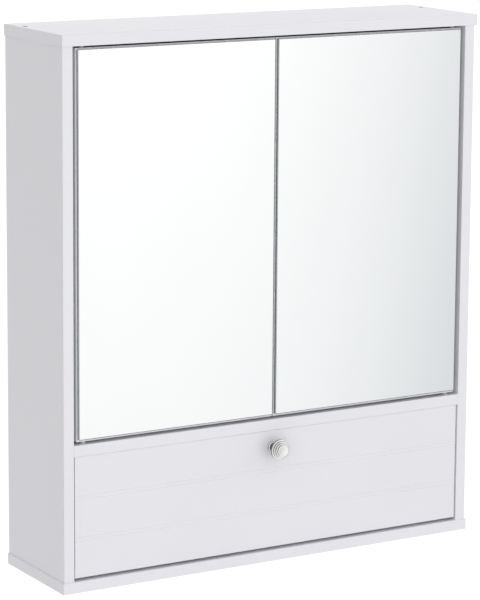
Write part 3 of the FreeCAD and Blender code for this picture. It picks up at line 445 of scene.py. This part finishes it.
# The knob's foot and neck, its head as the radius and thickness of each step, and how far each turned corner
# is softened
KNOB_SEGMENTS = 160
KNOB_CORNER_STEPS = 5
KNOB_FOOT = (6.0 * MM, 0.9 * MM)          # radius and thickness
KNOB_NECK = 5.0 * MM
KNOB_UNDERSIDE = 3.2 * MM
KNOB_HEAD = ((11.3 * MM, 2.4 * MM), (9.6 * MM, 1.9 * MM), (8.1 * MM, 1.8 * MM), (6.6 * MM, 1.6 * MM))
KNOB_FOOT_CORNER = 0.3 * MM
KNOB_NECK_FILLET = 0.6 * MM
KNOB_UNDERSIDE_FILLET = 2.0 * MM
KNOB_OUTER_CORNER = 0.4 * MM
KNOB_INNER_CORNER = 0.2 * MM
KNOB_DISH = 0.25 * MM
KNOB_DISH_RINGS = (0.8, 0.55, 0.3)        # shares of the rim's radius
LONGEST_TURN = 0.48                       # share of an edge that the soft turn at its end may take


def knob_corners(length):
    """Corners of the knob's outline from the flap forward: radius, distance and size of the soft turn."""
    head = sum(step for _, step in KNOB_HEAD)
    foot_radius, foot_thickness = KNOB_FOOT
    widest = KNOB_HEAD[0][0]
    corners = [
        (foot_radius, 0.0, 0.0),
        (foot_radius, foot_thickness, KNOB_FOOT_CORNER),
        (KNOB_NECK, 2 * foot_thickness, KNOB_NECK_FILLET),
        (KNOB_NECK, length - head - KNOB_UNDERSIDE, KNOB_UNDERSIDE_FILLET),
        (widest, length - head, KNOB_OUTER_CORNER),
    ]
    along = length - head
    for i, (radius, step) in enumerate(KNOB_HEAD):
        if i:
            corners.append((radius, along, KNOB_INNER_CORNER))
        along += step
        corners.append((radius, along, KNOB_OUTER_CORNER))
    return corners


def round_corner(before, corner, after, radius, steps):
    """Points of an arc-like turn at corner, or the corner itself where the radius is 0."""
    if radius == 0:
        return [corner]
    back, ahead = before - corner, after - corner
    start = corner + back.normalized() * min(radius, back.length * LONGEST_TURN)
    end = corner + ahead.normalized() * min(radius, ahead.length * LONGEST_TURN)
    points = []
    for step in range(steps + 1):
        s = step / steps
        points.append(start * (1 - s) ** 2 + corner * (2 * s * (1 - s)) + end * s ** 2)
    return points


def knob():
    """Turned knob as one lathe-made surface with a softened edge at every step."""
    low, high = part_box("knob")
    centre_x, centre_z, base_y = (low.x + high.x) / 2, (low.z + high.z) / 2, high.y
    outline = knob_corners(high.y - low.y)
    corners = [Vector((radius, along)) for radius, along, _ in outline]
    tip = Vector((0.0, corners[-1].y))
    profile = []
    for i, (_, _, softness) in enumerate(outline):
        before = corners[i - 1] if i else corners[i]
        after = corners[i + 1] if i + 1 < len(corners) else tip
        profile += round_corner(before, corners[i], after, softness, KNOB_CORNER_STEPS)
    rim = profile[-1].x
    for share in KNOB_DISH_RINGS:
        profile.append(Vector((rim * share, tip.y - KNOB_DISH * (1 - share ** 2))))
    bm = bmesh.new()
    rings = []
    for point in profile:
        rings.append([bm.verts.new((centre_x + point.x * math.cos(angle), base_y - point.y,
                                    centre_z + point.x * math.sin(angle)))
                      for angle in even_turns(KNOB_SEGMENTS)])
    for ring, following in zip(rings, rings[1:]):
        band(bm, ring, following)
    middle = bm.verts.new((centre_x, base_y - tip.y + KNOB_DISH, centre_z))
    for i in range(KNOB_SEGMENTS):
        bm.faces.new((rings[-1][i], rings[-1][(i + 1) % KNOB_SEGMENTS], middle))
    bm.faces.new(rings[0])
    bmesh.ops.recalc_face_normals(bm, faces=bm.faces)
    return mesh_piece(bm, "knob_turned", smooth=True)


# Radiance of the surroundings. Headings are in degrees from straight in front, to the right. Heights are the
# upward share of a direction, from -1 straight down to 1 straight up.
STUDIO_LIGHT = 1.10
CEILING_LIGHT = (0.77, 0.78, 0.80, 1)
CEILING_HEIGHTS = (0.15, 0.7)

FLAG_LIGHT = grey(0.25)
FLAG_HEADINGS = (-150.0, -125.0, -72.0, -56.0)     # starts, full, full, ends
FLAG_ENDS_HEIGHTS = (0.45, 0.75)

FALL_OFF_LIGHT = (0.05, 0.10, 0.16, 1)
FALL_OFF_STARTS = (0.0, 20.0)
FALL_OFF_ENDS = (60.0, 90.0)
FALL_OFF_ENDS_HEIGHTS = (0.1, 0.4)
# Its share grows as a power of the heading past a start, up to a limit, with a little more low down
FALL_OFF_RISE_START = 27.3
FALL_OFF_RISE_SPAN = 8.0
FALL_OFF_POWER = 2.6
FALL_OFF_SHARE = 0.26
FALL_OFF_LIMIT = 0.38
FALL_OFF_LOW_SHARE = 0.10
FALL_OFF_LOW_HEIGHTS = (-0.249, -0.101)


def world_light():
    """White surroundings with a softer ceiling, a grey flag to the left and a fall-off to the front right."""
    world = bpy.data.worlds.new("studio")
    bpy.context.scene.world = world
    world.use_nodes = True
    t = Tree(world.node_tree)
    way = t.add("ShaderNodeSeparateXYZ", {0: t.add("ShaderNodeTexCoord").outputs["Generated"]})
    x, y, z = way.outputs
    heading = t.maths("DEGREES", t.maths("ARCTAN2", x, t.maths("MULTIPLY", y, -1.0)))
    colour = t.mix(t.spread(z, 0.0, 1.0, *CEILING_HEIGHTS, smooth=True), grey(STUDIO_LIGHT), CEILING_LIGHT)

    far = t.add("ShaderNodeMapRange", {"Value": heading, "From Min": FALL_OFF_RISE_START,
                                       "From Max": FALL_OFF_RISE_START + FALL_OFF_RISE_SPAN},
                clamp=False).outputs[0]
    drop = t.maths("POWER", t.maths("MAXIMUM", far, 0.0), FALL_OFF_POWER)
    drop = t.maths("MINIMUM", t.maths("MULTIPLY", drop, FALL_OFF_SHARE), FALL_OFF_LIMIT)
    drop = t.maths("ADD", drop, t.spread(z, FALL_OFF_LOW_SHARE, 0.0, *FALL_OFF_LOW_HEIGHTS))
    drop = t.maths("MULTIPLY", drop, t.spread(heading, 1.0, 0.0, *FALL_OFF_ENDS, smooth=True))
    drop = t.maths("MULTIPLY", drop, t.spread(z, 1.0, 0.0, *FALL_OFF_ENDS_HEIGHTS, smooth=True))
    drop = t.maths("MULTIPLY", drop, t.spread(heading, 0.0, 1.0, *FALL_OFF_STARTS, smooth=True))
    colour = t.mix(drop, colour, FALL_OFF_LIGHT)

    start, full, end_full, end = FLAG_HEADINGS
    flag = t.maths("MULTIPLY", t.spread(heading, 0.0, 1.0, start, full, smooth=True),
                   t.spread(heading, 1.0, 0.0, end_full, end, smooth=True))
    flag = t.maths("MULTIPLY", flag, t.spread(z, 1.0, 0.0, *FLAG_ENDS_HEIGHTS, smooth=True))
    colour = t.mix(flag, colour, FLAG_LIGHT)

    # The camera sees a plain white backdrop from every side. Only the light on the cabinet is shaped.
    seen = t.add("ShaderNodeLightPath").outputs["Is Camera Ray"]
    colour = t.mix(seen, colour, grey(STUDIO_LIGHT))
    background = t.add("ShaderNodeBackground", {"Color": colour, "Strength": 1.0})
    output = t.add("ShaderNodeOutputWorld")
    t.tree.links.new(background.outputs[0], output.inputs[0])


def floor():
    """Round pale floor below the cabinet, with a softly turned-down rim."""
    z = cad_box[0].z - FLOOR_BELOW_CABINET
    bm = bmesh.new()
    rings = []
    for radius, drop in FLOOR_RINGS:
        rings.append([bm.verts.new((radius * math.cos(angle), radius * math.sin(angle), z - drop))
                      for angle in even_turns(FLOOR_SEGMENTS)])
    for ring, following in zip(rings, rings[1:]):
        band(bm, ring, following)
    bm.faces.new(rings[0])
    bmesh.ops.recalc_face_normals(bm, faces=bm.faces)
    piece = mesh_piece(bm, "studio_floor", smooth=True)
    piece.data.materials.append(studio_floor())


def camera():
    """Camera at the viewing angle that the looks are judged from."""
    yaw, pitch, roll = CAMERA_YAW, CAMERA_PITCH, CAMERA_ROLL
    forward = Vector((math.sin(yaw) * math.cos(pitch), math.cos(yaw) * math.cos(pitch), -math.sin(pitch)))
    level = Vector((math.cos(yaw), -math.sin(yaw), 0.0))
    upright = level.cross(forward)
    right = level * math.cos(roll) + upright * math.sin(roll)
    up = upright * math.cos(roll) - level * math.sin(roll)
    data = bpy.data.cameras.new("camera")
    data.lens = CAMERA_LENS
    data.sensor_width = CAMERA_SENSOR
    data.sensor_fit = "AUTO"
    data.shift_y = CAMERA_SHIFT_Y
    piece = bpy.data.objects.new("camera", data)
    bpy.context.scene.collection.objects.link(piece)
    turn = Matrix((right, up, -forward)).transposed().to_4x4()
    piece.matrix_world = Matrix.Translation(CAMERA_PLACE) @ turn
    bpy.context.scene.camera = piece


bpy.context.scene.view_settings.view_transform = "Standard"
camera()
world_light()
floor()

materials = {
    "white_lacquer": lacquer("white_lacquer"),
    "white_board": back_board(),
    "mirror_glass": silvering(),
    "foam_tape": plastic("foam_tape", grey(0.62), grey(0.70), 0.8, 1500.0),
    "zinc_steel": metal("zinc_steel", (0.60, 0.61, 0.63, 1), (0.70, 0.71, 0.73, 1), 0.32, (0.2, 1.0, 1.0)),
    "screw_steel": metal("screw_steel", (0.50, 0.50, 0.52, 1), (0.62, 0.62, 0.64, 1), 0.28),
    "black_screw": black_phosphate(),
    "beech": beech(),
    "cast_zinc": metal("cast_zinc", (0.42, 0.43, 0.45, 1), (0.54, 0.55, 0.57, 1), 0.45,
                       bump_distance=0.00008),
    "white_nylon": plastic("white_nylon", (0.60, 0.60, 0.58, 1), (0.68, 0.68, 0.66, 1), 0.4),
    "white_plastic": plastic("white_plastic", (0.70, 0.70, 0.71, 1), (0.76, 0.76, 0.77, 1), 0.42),
    "magnet": metal("magnet", (0.16, 0.16, 0.17, 1), (0.24, 0.24, 0.25, 1), 0.4),
    "satin_nickel": turned_nickel(),
}
assign(materials)
# The door boards' top faces carry painted shade in a bare-board brown
door_lacquer = lacquer("door_lacquer", painted_shade_top=True)
for side in ("left", "right"):
    NODES[side + "_door_board"].data.materials[0] = door_lacquer

# The mirror's margin material is painted shade: a dark line inside the bevel
mirror_materials = (materials["mirror_glass"], painted_edge_shade(), ground_glass(), glass_edge(), backing_paint())
for side in ("left", "right"):
    glass = mirror(side + "_mirror", side + "_mirror_glass")
    for material in mirror_materials:
        glass.data.materials.append(material)
    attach(glass, side + "_door")
    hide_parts(side + "_mirror")

turned_knob = knob()
turned_knob.data.materials.append(materials["satin_nickel"])
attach(turned_knob, "flap")
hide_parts("knob")
